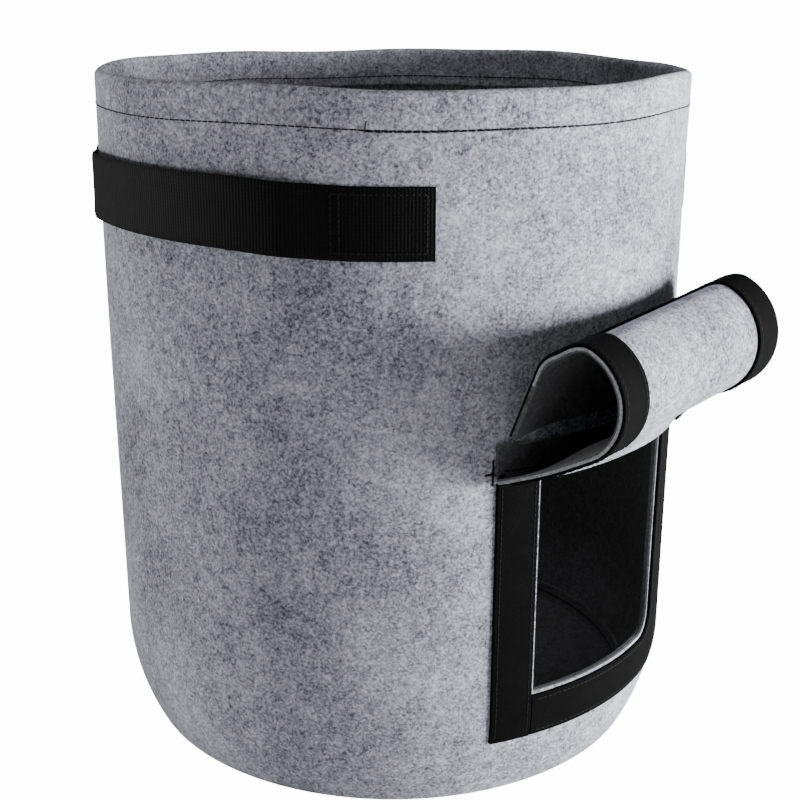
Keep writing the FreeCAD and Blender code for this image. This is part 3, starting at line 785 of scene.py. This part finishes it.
def flapSlab(w, s, under, over, sides):
    # a slab of the flap between two heights in mm over its showing face
    under, over = (np.broadcast_to(height, (len(s), len(w))) for height in (under, over))
    grid, n = flapSkin(w[None, :], s[:, None]), flapNormal(w[None, :], s[:, None])
    high, low = grid + n * over[..., None] * mm, grid + n * under[..., None] * mm
    return high, low, sides, None


def flapRow(w, s):
    # stitch ends on the showing face of the side tapes
    points, n = flapSkin(w, s), flapNormal(w, s)
    return points + n * (flap["tapeThick"] + 0.1 * mm), n


widths = np.concatenate([
    flap["left"] + np.array([0, 0.6]) * mm, np.linspace(flap["left"] + 2 * mm, flap["right"] - 2 * mm, 66),
    flap["right"] - np.array([0.6, 0]) * mm])
fromEdge = np.concatenate([np.array([0.15, 0.6]) * mm, np.linspace(1.2 * mm, flap["tapeWide"] - 1.2 * mm, 12),
                           flap["tapeWide"] - np.array([0.4, 0]) * mm])          # across a side tape
sideRows = [flap["left"] + flap["margin"], flap["left"] + flap["tapeWide"] - flap["margin"],
            flap["right"] - flap["tapeWide"] + flap["margin"], flap["right"] - flap["margin"]]
middleAcross = (flap["left"] + flap["right"]) / 2
for number, (low, high) in enumerate(zip(cuts[:-1], cuts[1:]), start=1):
    s = flapSpan(low, high)
    # painted shade: the flap's underside, which faces into the roll, takes the dark felt, and so does the cut
    # edge of the header and of the tail's last piece, where they lie in the roll's shade
    parts = [(s[s < -1.99], 1), (s[s > -2.01], 2)] if number == 1 else [(s, 2 if low < 100 * mm else 1)]
    felt = slabsMesh(f"flapFelt{number}", [
        flapSlab(widths, part, -flap["thick"] / mm, 0.0, (0, 1, edge))
        for part, edge in parts], [feltOuter, feltPaintedShade, feltEdge])
    ends = [f"flap_{number - 1}" if number > 1 else "bag", f"flap_{number}"]
    spots = flapSkin(middleAcross, np.array([low if number > 1 else -1.4, high]))
    near, far = spots[0] * 0.88 + spots[1] * 0.12, spots[0] * 0.12 + spots[1] * 0.88
    hold = (*ends, tuple(map(float, near)), tuple(map(float, far)))
    last = number == len(cuts) - 1
    strips, rows = [], []
    tapeFrom = s if number > 1 else s[s > -0.93]
    for edge, sign in ((flap["left"], 1), (flap["right"], -1)):
        across = np.sort(edge + sign * fromEdge)
        eased = np.ones(len(across))
        eased[[0, -1]] = 0.6
        strips.append(flapSlab(across, tapeFrom, 0.04, eased * flap["tapeThick"] / mm, (0, 0, 0)))
    if high > freeBand + 1e-6:
        bandLow = max(low, freeBand)
        band = np.linspace(bandLow, high - (0.2 * mm if last else 0), max(4, int((high - bandLow) / mm)))
        inset = flap["tapeWide"] + 0.1 * mm
        across = np.linspace(flap["left"] + inset, flap["right"] - inset, 50)
        strips.append(flapSlab(across, band, 0.04, flap["tapeThick"] / mm, (0, 0, 0)))
    hooks = slabsMesh(f"hookTape{number}", strips, [hookPile])
    pitch = 3.0 * mm
    if low >= 0:
        at = np.linspace(low, high, max(2, int(round((high - low) / pitch)) + 1))
    elif number == 1:
        at = np.linspace(-0.85, -0.5, 5)
    else:
        at = np.concatenate([np.linspace(-0.5, -0.0001, 6), [3 * mm]])
    for w in sideRows:
        rows.append(flapRow(np.full(len(at), w), at))
    if last:
        count = int(round((flap["right"] - flap["left"] - 10 * mm) / pitch))
        edgeRow = np.linspace(flap["left"] + 5 * mm, flap["right"] - 5 * mm, count)
        rows.append(flapRow(edgeRow, np.full(count, high - 3 * mm)))
    if number == 1:
        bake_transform(felt)
        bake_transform(hooks)
        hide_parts("flap_header")
        stitches("hookTapeStitch1", rows, None, [], fine, hold)
    elif last:
        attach(felt, "flap_8")
        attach(hooks, "flap_8")
        stitches(f"hookTapeStitch{number}", rows, "flap_8", [], fine)
    else:
        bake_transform(felt)
        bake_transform(hooks)
        stitches(f"hookTapeStitch{number}", rows, None, [], fine, hold)
    if number > 1:
        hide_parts(f"flap_panel_{number - 1}")
        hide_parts(f"hook_tape_{number - 1}")
        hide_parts(f"hook_tape_thread_{number - 1}")
    grid = flapSkin(middleAcross, s)

headerAngles = (wallLine(flap["left"]) + 1.2, wallLine(flap["right"]) - 1.2)
headerFace = 0.3 * mm + flap["thick"]
stitches("headerStitch", [wallRow(*headerAngles, flap["sewnUp"], flap["sewnUp"], headerFace)],
         "bag", ["flap_header_thread"])
tackStitch = {**stitch, "wide": 1.0 * mm, "high": 0.6 * mm, "gap": -0.4 * mm}      # dense, so its dashes overlap
for side, sign, end in (("left", -1, wallLine(flap["left"])), ("right", 1, wallLine(flap["right"]))):
    count = 9
    angle = np.linspace(end + sign * 1.9, end - sign * 1.3, count)
    out = headerFace * smooth((end - angle) * sign / 0.5 + 0.3) + 0.2 * mm
    points = wallPoint(angle, 0.1752 + 0 * angle, out)
    level = (points, (wallPoint(angle, 0.1752 + 0 * angle, out + 1 * mm) - points) / mm)
    upright = wallRow(end + sign * 0.45, end + sign * 0.45, 169.6 * mm, 182 * mm, 0.3 * mm, 1.4 * mm)
    stitches(f"{side}BarTack", [upright, level], "bag", [f"bar_tack_{side}"], tackStitch)
print("flap made")


studio = {
    "floor": "#F4F4F4", "glow": 14.0, "world": 0.11, "backdrop": 26.0,
    "key": 110.0, "front": 0.1, "left": 20.0, "top": 10.0,               # lamps in watts
}


def paleFloor():
    # Matt white sweep paper, overlit as a light table is, but only where it is seen directly, so that the bag
    # isn't lit from below.
    m = newMaterial("matt white sweep paper")
    seen = addNode(m, "ShaderNodeLightPath").outputs["Is Camera Ray"]
    glow = addNode(m, "ShaderNodeMath", {"operation": "MULTIPLY"}, {0: seen, 1: studio["glow"]})
    shader = addNode(m, "ShaderNodeBsdfPrincipled", None, {
        "Base Color": linear(studio["floor"]), "Roughness": 0.9, "Specular IOR Level": 0.1,
        "Emission Color": linear("#FFFFFF"), "Emission Strength": glow.outputs[0]})
    addNode(m, "ShaderNodeOutputMaterial", None, {"Surface": shader.outputs["BSDF"]})
    turn = np.linspace(0, tau, 65)[:-1]
    ring = np.stack([40 * np.cos(turn), 40 * np.sin(turn), 0 * turn - 0.2 * mm], axis=-1)
    floor = makeMesh("floor", ring, [np.arange(64)[None, :]], [m])


paleFloor()
world = bpy.data.worlds.new("studio")
bpy.context.scene.world = world
world.use_nodes = True
background = world.node_tree.nodes["Background"]
background.inputs["Color"].default_value = linear("#FAFAFC")
seen = addNode(world, "ShaderNodeLightPath").outputs["Is Camera Ray"]
strength = addNode(world, "ShaderNodeMapRange", None, {
    "Value": seen, "To Min": studio["world"], "To Max": studio["backdrop"]})
world.node_tree.links.new(strength.outputs[0], background.inputs["Strength"])

right = np.array([1, -1, 0]) / math.sqrt(2)
depth = np.array([1, 1, 0]) / math.sqrt(2)


def softbox(name, place, size, power):
    # an area light of (wide, tall) at (right, towards the camera, up) of the bag, aimed at its middle
    data = bpy.data.lights.new(name, "AREA")
    data.shape, data.energy, data.size, data.size_y = "RECTANGLE", power, *size
    lamp = bpy.data.objects.new(name, data)
    where = right * place[0] - depth * place[1] + upAxis * place[2]
    lamp.location = where
    aim = np.array([0, 0, 0.18]) - where
    lamp.rotation_euler = (math.atan2(math.hypot(aim[0], aim[1]), -aim[2]), 0, math.atan2(-aim[0], aim[1]))
    bpy.context.scene.collection.objects.link(lamp)


softbox("keyLight", (1.76, 0.34, 0.26), (1.15, 0.5), studio["key"])
softbox("frontLight", (0.2, 1.9, 0.9), (1.3, 1.3), studio["front"])
softbox("leftLight", (-1.8, 0.0, 0.2), (1.1, 0.34), studio["left"])
softbox("topLight", (0.0, 0.5, 2.0), (1.2, 1.2), studio["top"])

view = {"lens": 60.31, "back": 0.7073, "up": 0.3911, "pitch": 17.78, "yaw": 0.31, "roll": -0.17}
camera = bpy.data.cameras.new("camera")
camera.lens, camera.sensor_width, camera.clip_end = view["lens"], 36.0, 100.0
eye = bpy.data.objects.new("camera", camera)
eye.location = -depth * view["back"] + upAxis * view["up"]
facing = (Matrix.Rotation(rad(-45 - view["yaw"]), 4, "Z") @ Matrix.Rotation(rad(90 - view["pitch"]), 4, "X")
          @ Matrix.Rotation(rad(-view["roll"]), 4, "Z"))
eye.rotation_euler = facing.to_euler()
bpy.context.scene.collection.objects.link(eye)
bpy.context.scene.camera = eye
print("stage set")
